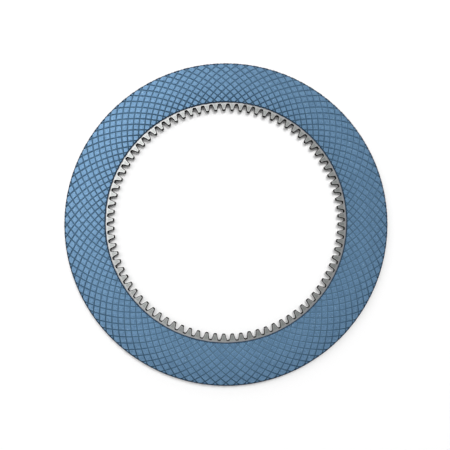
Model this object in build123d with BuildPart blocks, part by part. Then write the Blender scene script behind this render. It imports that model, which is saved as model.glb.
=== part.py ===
from build123d import *
from math import acos, cos, pi, radians, sin, tan
import os

# A wet clutch friction disc: a steel core plate with a toothed hole, and a grooved friction
# lining bonded to each of its faces. Millimetres. The disc's axis is Z, and the origin is at
# the centre of the toothed hole, halfway through the plate.

# ---- core plate ----
core_outer_diameter = 298.0
core_thickness = 3.6
core_rim_break = 0.3  # chamfer around the rim, on both faces

# ---- teeth, an internal involute spline ----
tooth_count = 85
tooth_module = 2.5
tooth_pressure_angle = 14.5
tooth_thickness = 3.9  # along the pitch circle
tooth_addendum = 2.5  # from the pitch circle inwards to the tips
tooth_dedendum = 3.125  # from the pitch circle outwards to the roots
tooth_tip_round = 1.0
tooth_root_round = 0.8
tooth_edge_break = 0.5  # chamfer along the toothed edge, on both faces

# ---- friction linings ----
lining_thickness = 1.2
lining_rim_step = 0.5  # bare steel outside the lining
lining_tooth_land = 1.6  # bare steel between the tooth roots and the lining

# ---- oil grooves: full circles cut off-centre, so that each crosses the lining twice ----
groove_count = 98
groove_width = 1.3
groove_depth = 0.6
groove_circle_radius = 117.0
groove_centre_radius = 87.5  # from the disc's axis to the centre of each groove circle

# ---- sizes that follow from these ----
core_outer_radius = core_outer_diameter / 2
pitch_radius = tooth_module * tooth_count / 2
tip_radius = pitch_radius - tooth_addendum
root_radius = pitch_radius + tooth_dedendum
base_radius = pitch_radius * cos(radians(tooth_pressure_angle))
gap_at_pitch = pi * tooth_module - tooth_thickness
lining_outer_radius = core_outer_radius - lining_rim_step
lining_inner_radius = root_radius + lining_tooth_land
lining_floor = lining_thickness - groove_depth
groove_pitch = 360 / groove_count


def involute(angle):
    """The involute function of an angle in radians."""
    return tan(angle) - angle


def flank_point(radius, side):
    """The point at this radius on one flank of the tooth gap that lies along the X axis."""
    angle = gap_at_pitch / (2 * pitch_radius)
    angle += involute(radians(tooth_pressure_angle)) - involute(acos(base_radius / radius))
    return Vector(radius * cos(angle), side * radius * sin(angle))


def mid_tip_point(side):
    """The middle of the tooth tip on one side of the same gap."""
    angle = pi / tooth_count
    return Vector(tip_radius * cos(angle), side * tip_radius * sin(angle))


# ---- core plate, blanked from steel sheet ----
# One pitch of the toothed edge, from the middle of one tip to the middle of the next. Each
# flank is an arc through three points of its involute. A round takes up less than half of
# the tip or the root that it is on.
with BuildLine() as tooth_pitch:
    near_tip = RadiusArc(mid_tip_point(-1), flank_point(tip_radius, -1), -tip_radius)
    ThreePointArc(near_tip @ 1, flank_point(pitch_radius, -1), flank_point(root_radius, -1))
    root = RadiusArc(flank_point(root_radius, -1), flank_point(root_radius, 1), -root_radius)
    ThreePointArc(root @ 1, flank_point(pitch_radius, 1), flank_point(tip_radius, 1))
    far_tip = RadiusArc(flank_point(tip_radius, 1), mid_tip_point(1), -tip_radius)
    root_corners = tooth_pitch.vertices().group_by(Axis.X)[-1]
    tip_corners = tooth_pitch.vertices().group_by(Axis.Y)
    fillet(root_corners, min(tooth_root_round, root.length * 0.45))
    fillet(tip_corners[1] + tip_corners[-2], min(tooth_tip_round, near_tip.length * 0.9))

with BuildPart() as core_plate:
    with BuildSketch(Plane.XY.offset(-core_thickness / 2)):
        Circle(core_outer_radius)
        with BuildLine():
            with PolarLocations(0, tooth_count):
                add(tooth_pitch.line)
        make_face(mode=Mode.SUBTRACT)
    extrude(amount=core_thickness)
    flat_edges = core_plate.faces().filter_by(Axis.Z).edges()
    rim_edges = flat_edges.sort_by(SortBy.LENGTH)[-2:]
    tooth_edges = flat_edges - rim_edges
    chamfer(tooth_edges, tooth_edge_break)
    chamfer(core_plate.edges().sort_by(SortBy.LENGTH)[-2:], core_rim_break)

# ---- front lining, friction material moulded to shape and bonded to the plate ----
with BuildSketch() as groove_ring:
    Circle(groove_circle_radius + groove_width / 2)
    Circle(groove_circle_radius - groove_width / 2, mode=Mode.SUBTRACT)

# The strip of lining between the middles of two neighbouring grooves, from rim to rim.
with BuildSketch() as lining_strip:
    Circle(lining_outer_radius)
    Circle(lining_inner_radius, mode=Mode.SUBTRACT)
    with PolarLocations(groove_centre_radius, 1, start_angle=groove_pitch):
        Circle(groove_circle_radius, mode=Mode.INTERSECT)
    with PolarLocations(groove_centre_radius, 1):
        Circle(groove_circle_radius, mode=Mode.SUBTRACT)

# The blocks that the grooves leave standing on that strip.
with BuildSketch() as strip_blocks:
    add(lining_strip.sketch)
    for place in PolarLocations(groove_centre_radius, groove_count).locations:
        with Locations(place):
            add(groove_ring.sketch, mode=Mode.SUBTRACT)

with BuildPart() as grooved_strip:
    with BuildSketch(Plane.XY.offset(core_thickness / 2)):
        add(lining_strip.sketch)
    extrude(amount=lining_floor)
    with BuildSketch(Plane.XY.offset(core_thickness / 2 + lining_floor)):
        add(strip_blocks.sketch)
    extrude(amount=groove_depth)

# The lining is that strip repeated right round. Its skin, less the two cut walls that its
# neighbours share, is turned once for each groove and sewn into one solid.
cut_walls = grooved_strip.faces().filter_by(GeomType.CYLINDER)
cut_walls = cut_walls.filter_by(lambda wall: abs(wall.radius - groove_circle_radius) < 0.001)
strip_skin = [face for face in grooved_strip.faces() if face not in cut_walls]
lining_skin = []
for turn in range(groove_count):
    lining_skin += [face.rotate(Axis.Z, turn * groove_pitch) for face in strip_skin]

with BuildPart() as front_lining:
    add(Solid(Shell(lining_skin)), clean=False)

# ---- back lining, the same on the other face ----
with BuildPart() as back_lining:
    add(front_lining.part.mirror(Plane.XY), clean=False)

# ---- the three pieces ----
os.makedirs("parts", exist_ok=True)
core_plate.part.label = "core_plate"
export_step(core_plate.part, "parts/core_plate.step")
front_lining.part.label = "front_lining"
export_step(front_lining.part, "parts/front_lining.step", write_pcurves=False)
back_lining.part.label = "back_lining"
export_step(back_lining.part, "parts/back_lining.step", write_pcurves=False)
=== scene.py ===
import math

import bpy
import bmesh
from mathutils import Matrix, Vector
from mathutils.geometry import intersect_line_sphere_2d, intersect_sphere_sphere_2d


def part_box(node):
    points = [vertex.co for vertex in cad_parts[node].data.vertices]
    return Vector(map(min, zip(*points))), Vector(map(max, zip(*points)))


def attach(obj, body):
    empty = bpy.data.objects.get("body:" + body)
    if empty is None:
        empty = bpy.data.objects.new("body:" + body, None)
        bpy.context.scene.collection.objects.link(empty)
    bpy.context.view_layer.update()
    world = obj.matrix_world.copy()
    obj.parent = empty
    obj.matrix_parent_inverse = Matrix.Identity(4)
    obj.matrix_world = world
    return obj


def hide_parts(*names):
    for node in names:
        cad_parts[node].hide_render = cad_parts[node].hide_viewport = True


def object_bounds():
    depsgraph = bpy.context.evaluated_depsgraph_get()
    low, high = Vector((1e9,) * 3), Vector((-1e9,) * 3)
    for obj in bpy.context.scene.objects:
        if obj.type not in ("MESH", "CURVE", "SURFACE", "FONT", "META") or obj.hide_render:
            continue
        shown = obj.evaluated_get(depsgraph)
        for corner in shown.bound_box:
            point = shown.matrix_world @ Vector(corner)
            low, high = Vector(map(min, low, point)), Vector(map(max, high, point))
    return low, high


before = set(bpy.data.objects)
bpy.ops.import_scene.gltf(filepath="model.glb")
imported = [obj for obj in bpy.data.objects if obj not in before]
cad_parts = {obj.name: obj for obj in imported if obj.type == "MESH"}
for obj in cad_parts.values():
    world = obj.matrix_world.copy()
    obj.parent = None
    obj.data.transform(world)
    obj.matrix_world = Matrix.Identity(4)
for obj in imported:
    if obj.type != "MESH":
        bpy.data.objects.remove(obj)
cad_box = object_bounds()

# ---- core plate ----
# A flat ring blanked from steel sheet, with spline teeth around its hole. Its faces are ground and its
# cut edges are tumbled smooth; a painted highlight brightens the tooth outlines, and the tooth walls
# and outer rim keep the darker cut surface, painted near-black as shade.
tooth_count = 85
pitch_radius = 0.10625
tip_radius = 0.10375
root_radius = 0.109375
tooth_thickness = 0.0039  # at the pitch circle
tooth_widening = 0.26  # how fast half a tooth widens from its tip to its root
bright_full = 0.0008  # how far in from a tooth's outline the steel is fully bright
bright_end = 0.0014  # how far in it is no brighter than the rest
land_fade = 0.0004  # how fast the bright land fades out between the roots
bright_share = 0.75  # how much of the ground colour the painted highlight covers there
bright_bevel = 0.00003  # how far the painted highlight reaches down a wall; below it the painted shade of the cut surface starts
shaded_cut_rim = 0.0005  # how far in the cut surface, painted dark as shade, shows along the outer rim
shaded_cut_blur = 0.00005

steel_roughness = 0.36
steel_cloud_scale = 60.0
steel_grain_scale = 900.0
scratch_scale = 220.0
scratch_stretch = (1.0, 9.0, 1.0)
streak_scale = 800.0
streak_stretch = (1.0, 1.0, 0.08)
steel_relief = 0.00003
matt_roughness = 0.8

ground_steel_dark = (0.56, 0.585, 0.57, 1.0)
ground_steel_light = (0.78, 0.81, 0.79, 1.0)
# painted highlight: the pale colour laid along the tooth outlines and the land
painted_highlight_steel = (0.95, 0.955, 0.96, 1.0)
# the cut surface, painted near-black as shade on the walls and along the rim
cut_steel_painted_shade_dark = (0.012, 0.012, 0.010, 1.0)
cut_steel_painted_shade_light = (0.038, 0.036, 0.032, 1.0)


class Finish:
    """One value inside a material. Python's own sums on it add Math nodes."""

    def __init__(self, tree, socket=None):
        self.tree = tree
        self.socket = socket

    def node(self, kind, settings=None, inputs=None, output=0):
        """Adds a node: its settings first, then the values or links of its sockets."""
        made = self.tree.nodes.new(kind)
        for name, value in (settings or {}).items():
            setattr(made, name, value)
        for name, value in (inputs or {}).items():
            socket = made.inputs[name]
            if isinstance(value, Finish):
                self.tree.links.new(value.socket, socket)
            else:
                socket.default_value = value
        return Finish(self.tree, made.outputs[output])

    def math(self, operation, other=0.0):
        return self.node("ShaderNodeMath", {"operation": operation}, {0: self, 1: other})

    def __add__(self, other):
        return self.math("ADD", other)

    def __sub__(self, other):
        return self.math("SUBTRACT", other)

    def __rsub__(self, other):
        return self.node("ShaderNodeMath", {"operation": "SUBTRACT"}, {0: other, 1: self})

    def __mul__(self, other):
        return self.math("MULTIPLY", other)

    def __truediv__(self, other):
        return self.math("DIVIDE", other)

    def __rtruediv__(self, other):
        return self.node("ShaderNodeMath", {"operation": "DIVIDE"}, {0: other, 1: self})

    __radd__ = __add__
    __rmul__ = __mul__

    def sway(self, amount):
        """A pattern from 0 to 1, as an amount that goes as far below 0 as above it."""
        return (self - 0.5) * amount

    def ramp(self, start, end):
        """Smooth from 0 at the start to 1 at the end, which may be the lower of the two."""
        return self.node("ShaderNodeMapRange", {"interpolation_type": "SMOOTHSTEP"},
                         {"Value": self, "From Min": start, "From Max": end})

    def blend(self, first, second):
        """Mixes two colours by this value."""
        return self.node("ShaderNodeMix", {"data_type": "RGBA"},
                         {"Factor": self, 6: first, 7: second}, output=2)

    def noise(self, scale, detail=2.0, roughness=0.5, stretch=None):
        """A noise pattern from 0 to 1 over this value, which is a position in metres."""
        place = self
        if stretch:
            place = self.node("ShaderNodeVectorMath", {"operation": "MULTIPLY"}, {0: self, 1: stretch})
        return self.node("ShaderNodeTexNoise", {}, {
            "Vector": place, "Scale": scale, "Detail": detail, "Roughness": roughness})


def new_finish(name):
    """A new material, with its shader and its position in metres."""
    material = bpy.data.materials.new(name)
    material.use_nodes = True
    shader = material.node_tree.nodes["Principled BSDF"]
    place = Finish(material.node_tree).node("ShaderNodeTexCoord", output="Object")
    return material, shader, place


def connect(value, shader, socket):
    value.tree.links.new(value.socket, shader.inputs[socket])


def bump(height, distance):
    """The normal of a surface that stands up by this height times the distance."""
    return height.node("ShaderNodeBump", {}, {"Height": height, "Distance": distance})


def dull(shader, roughness):
    """Takes all shine off a shader."""
    shader.inputs["Roughness"].default_value = roughness
    shader.inputs["Specular IOR Level"].default_value = 0.0


def matt_shader(material):
    """A second shader in a material, for a part of its surface that has no shine."""
    made = material.node_tree.nodes.new("ShaderNodeBsdfPrincipled")
    dull(made, matt_roughness)
    return made


def layer(mask, material, under, over):
    """Lays one shader over another where the mask is 1."""
    mix = material.node_tree.nodes.new("ShaderNodeMixShader")
    links = material.node_tree.links
    links.new(mask.socket, mix.inputs[0])
    links.new(under.outputs[0], mix.inputs[1])
    links.new(over.outputs[0], mix.inputs[2])
    links.new(mix.outputs[0], material.node_tree.nodes["Material Output"].inputs["Surface"])


def span_from_axis(place):
    """How far a position is from the disc's axis."""
    flat = place.node("ShaderNodeVectorMath", {"operation": "MULTIPLY"},
                      {0: place, 1: (1.0, 1.0, 0.0)})
    return flat.node("ShaderNodeVectorMath", {"operation": "LENGTH"}, {0: flat}, output=1)


def turn_round_axis(place):
    """The angle of a position round the disc's axis, in radians."""
    across = place.node("ShaderNodeSeparateXYZ", {}, {0: place}, output=0)
    along = place.node("ShaderNodeSeparateXYZ", {}, {0: place}, output=1)
    return along.math("ARCTAN2", across)


def painted_edge_highlight(place):
    """1 on the tips, along the flanks and on the land, where a painted highlight brightens the steel.
    """
    span = span_from_axis(place)
    beside = (turn_round_axis(place) * (tooth_count / (2 * math.pi))).math("FRACT") - 0.5
    beside = beside.math("ABSOLUTE") * span * (2 * math.pi / tooth_count)
    from_flank = (span - pitch_radius) * tooth_widening + tooth_thickness / 2 - beside
    flank = from_flank.ramp(bright_end, bright_full)
    tip = span.ramp(tip_radius + bright_end, tip_radius + bright_full)
    land = span.ramp(root_radius - land_fade, root_radius)
    return flank.math("MAXIMUM", tip).math("MAXIMUM", land)


def steel_finish(wall_height, rim):
    """Ground steel on the flat faces with a painted highlight along the tooth outlines, and a dark cut
    surface on the walls and along the rim, painted near-black as shade.
    """
    material, ground, place = new_finish("ground_steel_painted_highlight_and_shade")
    cloud = place.noise(steel_cloud_scale, 3.0)
    grain = place.noise(steel_grain_scale, 4.0, 0.7)
    scratch = place.noise(scratch_scale, 3.0, 0.6, stretch=scratch_stretch)
    tone = cloud.sway(0.25) + grain.sway(0.35) + scratch.sway(0.3) + 0.5
    colour = tone.ramp(0.2, 0.8).blend(ground_steel_dark, ground_steel_light)
    # painted highlight along the tooth outlines and on the land
    colour = (painted_edge_highlight(place) * bright_share).blend(colour, painted_highlight_steel)
    connect(colour, ground, "Base Color")
    ground.inputs["Metallic"].default_value = 1.0
    connect(steel_roughness + grain * 0.14 + cloud * 0.08, ground, "Roughness")
    connect(bump(grain * 0.5 + scratch, steel_relief), ground, "Normal")

    # the cut surface, darkened to near-black as painted shade, on the walls, down the bevel and along
    # the outer rim
    wall = matt_shader(material)
    streak = place.noise(streak_scale, 2.0, 0.6, stretch=streak_stretch)
    connect(streak.ramp(0.3, 0.7).blend(cut_steel_painted_shade_dark, cut_steel_painted_shade_light), wall, "Base Color")
    connect(bump(streak, steel_relief), wall, "Normal")
    height = place.node("ShaderNodeSeparateXYZ", {}, {0: place}, output=2).math("ABSOLUTE")
    below_face = height.ramp(wall_height + shaded_cut_blur, wall_height - shaded_cut_blur)
    near_rim = span_from_axis(place).ramp(rim - shaded_cut_blur, rim + shaded_cut_blur)
    layer(below_face.math("MAXIMUM", near_rim), material, ground, wall)
    return material


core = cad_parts["core_plate"]
core_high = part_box("core_plate")[1]
core_steel = steel_finish(core_high[2] - bright_bevel, core_high[0] - shaded_cut_rim)
for slot in core.material_slots:
    slot.material = core_steel

# ---- friction linings ----
# Each lining is a ring of moulded friction material, bonded to one face of the plate. Oil
# grooves are milled across it as full circles set off-centre, which leave rows of small blocks.
groove_count = 98
groove_width = 0.0013
groove_depth = 0.0006
groove_circle_radius = 0.117
groove_centre_radius = 0.0875
groove_pitch = 2 * math.pi / groove_count
block_edge_round = 0.00012
block_foot = 0.00005  # how far a block's foot reaches into the floor below it
flat_tolerance = 1e-7
floor_steps = groove_count * 4  # straight steps round the floor's ring
rim_shade_width = 0.0008  # how wide the dark band along the rims is: the cut edge, darkened as painted shade
rim_shade_blur = 0.00032
groove_shade_full = groove_width * 0.16  # how far from a groove's middle line the painted shade is full
groove_shade_end = groove_width * 0.36  # how far from it there is none

face_metal = 0.62  # the share of metal powder that shows in the ground tops
face_roughness = 0.40
face_cloud_scale = 18.0
fibre_scale = 900.0
fleck_scale = 620.0
floor_grain_scale = 900.0
lining_relief = 0.00005

friction_dark = (0.146, 0.288, 0.466, 1.0)
friction_light = (0.218, 0.399, 0.618, 1.0)
pale_fleck = (0.40, 0.60, 0.78, 1.0)
dark_fleck = (0.08, 0.15, 0.26, 1.0)
groove_dark = (0.122, 0.238, 0.372, 1.0)
groove_light = (0.158, 0.305, 0.465, 1.0)
# painted shade along the middle of each groove
groove_middle_shade = (0.076, 0.145, 0.215, 1.0)
# the cut edge along the rims, darkened as painted shade
cut_edge_painted_shade = (0.032, 0.058, 0.098, 1.0)

lining_spans = [vertex.co.xy.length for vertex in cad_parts["front_lining"].data.vertices]
lining_inner = min(lining_spans)
lining_outer = max(lining_spans)


def groove_centre(number):
    """The centre of one groove circle, by its number round the disc."""
    turn = number * groove_pitch
    return groove_centre_radius * Vector((math.cos(turn), math.sin(turn)))


def block_corner(first, first_side, second, second_side):
    """Where the edges of two crossing grooves meet. A side is 1 outside the circle, -1 inside."""
    meets = intersect_sphere_sphere_2d(
        groove_centre(first), groove_circle_radius + first_side * groove_width / 2,
        groove_centre(second), groove_circle_radius + second_side * groove_width / 2)
    return max(meets, key=lambda point: point.length)


def trim_to_rim(outline, rim, keep):
    """Cuts an outline where it crosses a rim. It keeps the points for which keep is true."""
    kept = []
    for here, after in zip(outline, outline[1:] + outline[:1]):
        if keep(here.length):
            kept.append(here)
        if keep(here.length) != keep(after.length):
            crossings = intersect_line_sphere_2d(here, after, Vector((0, 0)), rim)
            kept.append(next(point for point in crossings if point))
    return kept


def block_outlines():
    """The blocks between grooves 0 and 1, one for each pair of grooves that crosses them."""
    outlines = []
    for crossing in range(2, groove_count // 2):
        outline = [
            block_corner(0, 1, crossing, -1),
            block_corner(1, -1, crossing, -1),
            block_corner(1, -1, crossing + 1, 1),
            block_corner(0, 1, crossing + 1, 1),
        ]
        outline = trim_to_rim(outline, lining_outer, lambda span: span < lining_outer)
        outline = trim_to_rim(outline, lining_inner, lambda span: span > lining_inner)
        if len(outline) > 2:
            outlines.append(outline)
    return outlines


def block_row(base, worn):
    """One row of blocks from the inner rim to the outer, with their worn edges rounded."""
    rows = bmesh.new()
    for outline in block_outlines():
        foot = [rows.verts.new((point.x, point.y, base)) for point in outline]
        top = [rows.verts.new((point.x, point.y, worn)) for point in outline]
        rows.faces.new(foot)
        rows.faces.new(top)
        for corner in range(len(outline)):
            after = (corner + 1) % len(outline)
            rows.faces.new((foot[corner], foot[after], top[after], top[corner]))
    bmesh.ops.recalc_face_normals(rows, faces=rows.faces)
    top_edges = [edge for edge in rows.edges
                 if all(abs(end.co.z - worn) < flat_tolerance for end in edge.verts)]
    bmesh.ops.bevel(rows, geom=top_edges, offset=block_edge_round, segments=2, profile=0.5,
                    affect="EDGES")
    mesh = bpy.data.meshes.new("block_row")
    rows.to_mesh(mesh)
    rows.free()
    return mesh


class Tree:
    """A geometry node tree, with named inputs and one mesh out."""

    def __init__(self, name):
        self.group = bpy.data.node_groups.new(name, "GeometryNodeTree")
        self.entry = self.group.nodes.new("NodeGroupInput")
        self.exit = self.group.nodes.new("NodeGroupOutput")
        self.group.interface.new_socket("Geometry", in_out="OUTPUT", socket_type="NodeSocketGeometry")

    def input(self, name, kind):
        self.group.interface.new_socket(name, in_out="INPUT", socket_type="NodeSocket" + kind)
        return self.entry.outputs[name]

    def node(self, kind, settings=None, inputs=None):
        """Adds a node: its settings first, then the values or links of its sockets."""
        made = self.group.nodes.new(kind)
        for name, value in (settings or {}).items():
            setattr(made, name, value)
        for name, value in (inputs or {}).items():
            if isinstance(value, bpy.types.NodeSocket):
                self.group.links.new(value, made.inputs[name])
            else:
                made.inputs[name].default_value = value
        return made

    def finish(self, last):
        self.group.links.new(last, self.exit.inputs[0])

    def build(self, piece, values):
        """Runs the tree on a piece with these values, and keeps the result as a plain mesh."""
        run = piece.modifiers.new(self.group.name, "NODES")
        run.node_group = self.group
        for item in self.group.interface.items_tree:
            if item.in_out == "INPUT" and item.name in values:
                run[item.identifier] = values[item.name]
        built = piece.evaluated_get(bpy.context.evaluated_depsgraph_get())
        mesh = bpy.data.meshes.new_from_object(built)
        piece.modifiers.remove(run)
        piece.data = mesh


def new_piece(name, mesh):
    piece = bpy.data.objects.new(name, mesh)
    bpy.context.collection.objects.link(piece)
    return piece


def lining_tree(face_material, floor_material):
    """Repeats a row of blocks round the disc, on a plain ring that is the grooves' floor."""
    tree = Tree("lining_blocks")
    row = tree.input("Block Row", "Geometry")
    copies = tree.input("Grooves", "Int")
    middle = tree.input("Middle Radius", "Float")
    width = tree.input("Ring Width", "Float")
    thickness = tree.input("Floor Thickness", "Float")
    height = tree.input("Floor Middle", "Float")
    seed = tree.input("Seed", "Int")

    places = tree.node("GeometryNodeMeshLine", {"mode": "OFFSET"}, {
        "Count": copies, "Offset": (0, 0, 0)})
    index = tree.node("GeometryNodeInputIndex")
    pitch = tree.node("ShaderNodeMath", {"operation": "DIVIDE"}, {0: 2 * math.pi, 1: copies})
    turn = tree.node("ShaderNodeMath", {"operation": "MULTIPLY"}, {
        0: index.outputs[0], 1: pitch.outputs[0]})
    facing = tree.node("ShaderNodeCombineXYZ", {}, {"Z": turn.outputs[0]})
    rows = tree.node("GeometryNodeInstanceOnPoints", {}, {
        "Points": places.outputs[0], "Instance": row, "Rotation": facing.outputs[0]})
    blocks = tree.node("GeometryNodeRealizeInstances", {}, {"Geometry": rows.outputs[0]})
    island = tree.node("GeometryNodeInputMeshIsland")
    tone = tree.node("FunctionNodeRandomValue", {"data_type": "FLOAT"}, {
        "ID": island.outputs[0], "Seed": seed})
    toned = tree.node("GeometryNodeStoreNamedAttribute", {"data_type": "FLOAT", "domain": "POINT"}, {
        "Geometry": blocks.outputs[0], "Name": "block_tone", "Value": tone.outputs["Value"]})
    faced = tree.node("GeometryNodeSetMaterial", {}, {
        "Geometry": toned.outputs[0], "Material": face_material})

    circle = tree.node("GeometryNodeCurvePrimitiveCircle", {"mode": "RADIUS"}, {
        "Resolution": floor_steps, "Radius": middle})
    section = tree.node("GeometryNodeCurvePrimitiveQuadrilateral", {"mode": "RECTANGLE"}, {
        "Width": width, "Height": thickness})
    ring = tree.node("GeometryNodeCurveToMesh", {}, {
        "Curve": circle.outputs[0], "Profile Curve": section.outputs[0]})
    lift = tree.node("ShaderNodeCombineXYZ", {}, {"Z": height})
    lifted = tree.node("GeometryNodeTransform", {}, {
        "Geometry": ring.outputs[0], "Translation": lift.outputs[0]})
    floored = tree.node("GeometryNodeSetMaterial", {}, {
        "Geometry": lifted.outputs[0], "Material": floor_material})

    both = tree.node("GeometryNodeJoinGeometry")
    tree.group.links.new(faced.outputs[0], both.inputs[0])
    tree.group.links.new(floored.outputs[0], both.inputs[0])
    real = tree.node("GeometryNodeRealizeInstances", {}, {"Geometry": both.outputs[0]})
    tree.finish(real.outputs[0])
    return tree


def rim_shade_mask(place):
    """1 along the inner and outer rims of a lining, where the cut edge carries painted shade, and 0
    between them.
    """
    span = span_from_axis(place)
    inner_edge = lining_inner + rim_shade_width
    outer_edge = lining_outer - rim_shade_width
    inner = span.ramp(inner_edge + rim_shade_blur / 2, inner_edge - rim_shade_blur / 2)
    return inner.math("MAXIMUM", span.ramp(outer_edge - rim_shade_blur, outer_edge))


def friction_face():
    """The ground tops of the blocks, which metal powder in the mix makes satin. The cut edges
    along the rims are dark and matt, with painted shade."""
    material, shader, place = new_finish("friction_face")
    tone = place.node("ShaderNodeAttribute", {"attribute_name": "block_tone"}, output="Fac")
    cloud = place.noise(face_cloud_scale, 2.0)
    fibre = place.noise(fibre_scale, 2.0, 0.6)
    fleck = place.noise(fleck_scale, 1.0)
    shade = tone.sway(0.15) + cloud.sway(0.4) + fibre.sway(3.6) + 0.5
    colour = shade.ramp(0.0, 1.0).blend(friction_dark, friction_light)
    colour = fleck.ramp(0.70, 0.76).blend(colour, pale_fleck)
    colour = fleck.ramp(0.30, 0.24).blend(colour, dark_fleck)
    connect(colour, shader, "Base Color")
    shader.inputs["Metallic"].default_value = face_metal
    connect(face_roughness + fibre * 0.16, shader, "Roughness")
    connect(bump(fibre + fleck * 0.4, lining_relief), shader, "Normal")

    # the dark, matt cut edge along the rims, with painted shade
    rim_cut_and_shade = matt_shader(material)
    rim_cut_and_shade.inputs["Base Color"].default_value = cut_edge_painted_shade
    layer(rim_shade_mask(place), material, shader, rim_cut_and_shade)
    return material


def groove_shade_mask(place):
    """1 along the middle line of each groove, where shade is painted, and 0 beside it."""
    span = span_from_axis(place)
    reach = groove_centre_radius ** 2 - groove_circle_radius ** 2
    lean = ((span * span + reach) / (span * (2 * groove_centre_radius))).math("ARCCOSINE")
    step = span * lean.math("SINE") * (groove_centre_radius / groove_circle_radius * groove_pitch)
    turn = turn_round_axis(place)
    away = []
    for side in (-1, 1):
        number = (turn + lean * side) / groove_pitch
        away.append(((number + 0.5).math("FRACT") - 0.5).math("ABSOLUTE") * step)
    return away[0].math("MINIMUM", away[1]).ramp(groove_shade_end, groove_shade_full)


def groove_floor():
    """The milled floors of the grooves, dull, with painted shade along their middles."""
    material, shader, place = new_finish("groove_floor")
    grain = place.noise(floor_grain_scale, 3.0, 0.6)
    colour = grain.ramp(0.3, 0.7).blend(groove_dark, groove_light)
    # painted shade along each groove's middle
    colour = groove_shade_mask(place).blend(colour, groove_middle_shade)
    # the rims' cut edge, darkened as painted shade
    connect(rim_shade_mask(place).blend(colour, cut_edge_painted_shade), shader, "Base Color")
    dull(shader, matt_roughness)
    connect(bump(grain, lining_relief), shader, "Normal")
    return material


linings = lining_tree(friction_face(), groove_floor())
for name, side, seed in (("front_lining", 1, 3), ("back_lining", -1, 8)):
    low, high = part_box(name)
    bonded, worn = (low[2], high[2]) if side > 0 else (high[2], low[2])
    floor = worn - side * groove_depth
    lining = new_piece(name + "_blocks", block_row(floor - side * block_foot, worn))
    linings.build(lining, {
        "Grooves": groove_count,
        "Middle Radius": (lining_inner + lining_outer) / 2,
        "Ring Width": lining_outer - lining_inner,
        "Floor Thickness": abs(floor - bonded),
        "Floor Middle": (floor + bonded) / 2,
        "Seed": seed,
    })
    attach(lining, "root")
    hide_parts(name)

# ---- stage, light and camera ----
# The disc lies flat on a plain white floor. A softbox above its far edge lights it, a wider
# panel on the left shows in the steel and in the sheen of the linings, and the walls are pale.
stage_size = 12.0
floor_height = cad_box[0][2]
floor_white = 0.97
floor_roughness = 0.9
floor_glow = 0.03  # the floor's own light, for the camera and in the steel
wall_dim = 0.75
wall_bright = 1.3
ceiling_dim = 0.22
window_side = (-0.5, 0.87, 0.0)  # which way the brighter walls are
camera_elevation = math.radians(85.95)
camera_distance = 0.3476
camera_lens = 30.0
camera_sensor = 36.0
camera_shift = (-0.002, -0.0115)


def grey(level):
    return (level, level, level, 1.0)


def white_floor():
    """White board. To the camera and in the steel it has a little light of its own."""
    material, shader, place = new_finish("white_floor")
    shader.inputs["Base Color"].default_value = grey(floor_white)
    dull(shader, floor_roughness)
    camera_ray = place.node("ShaderNodeLightPath", output="Is Camera Ray")
    glossy_ray = place.node("ShaderNodeLightPath", output="Is Glossy Ray")
    seen = camera_ray.math("MAXIMUM", glossy_ray)
    connect(seen.blend(grey(0.0), grey(floor_glow)), shader, "Emission Color")
    shader.inputs["Emission Strength"].default_value = 1.0
    return material


def studio_walls(tree):
    """Pale walls, brighter towards the window side, under a dim ceiling."""
    sky = Finish(tree).node("ShaderNodeTexCoord", output="Generated")
    height = sky.node("ShaderNodeSeparateXYZ", {}, {0: sky}, output=2)
    to_window = sky.node("ShaderNodeVectorMath", {"operation": "DOT_PRODUCT"},
                         {0: sky, 1: window_side}, output=1)
    walls = to_window.ramp(-0.5, 0.7).blend(grey(wall_dim), grey(wall_bright))
    return height.ramp(0.45, 0.15).blend(grey(ceiling_dim), walls)


def softbox(name, place, width, height, brightness, glossy=True):
    """A rectangular softbox that faces the disc. Its brightness is what a mirror would show."""
    light = bpy.data.lights.new(name, "AREA")
    light.shape = "RECTANGLE"
    light.size = width
    light.size_y = height
    light.energy = brightness * math.pi * width * height
    made = bpy.data.objects.new(name, light)
    made.location = place
    made.rotation_euler = (-Vector(place)).to_track_quat("-Z", "Y").to_euler()
    made.visible_glossy = glossy
    bpy.context.collection.objects.link(made)


bpy.ops.mesh.primitive_plane_add(size=stage_size, location=(0, 0, floor_height))
stage_floor = bpy.context.object
stage_floor.name = "stage_floor"
stage_floor.data.materials.append(white_floor())

world = bpy.data.worlds.new("studio")
bpy.context.scene.world = world
world.use_nodes = True
background = world.node_tree.nodes["Background"]
background.inputs["Strength"].default_value = 1.0
connect(studio_walls(world.node_tree), background, "Color")

softbox("top_softbox", place=(1.25, 2.75, 5.2), width=2.2, height=2.2, brightness=13.8, glossy=False)
softbox("ceiling_panel", place=(-1.04, 0.80, 1.8), width=1.8, height=2.0, brightness=1.9)

camera = bpy.data.objects.new("camera", bpy.data.cameras.new("camera"))
camera.data.lens = camera_lens
camera.data.sensor_width = camera_sensor
camera.data.shift_x, camera.data.shift_y = camera_shift
camera.data.clip_start = 0.01
camera.location = camera_distance * Vector((0, -math.cos(camera_elevation), math.sin(camera_elevation)))
camera.rotation_euler = (math.pi / 2 - camera_elevation, 0, 0)
bpy.context.collection.objects.link(camera)
bpy.context.scene.camera = camera
bpy.context.scene.view_settings.view_transform = "Standard"
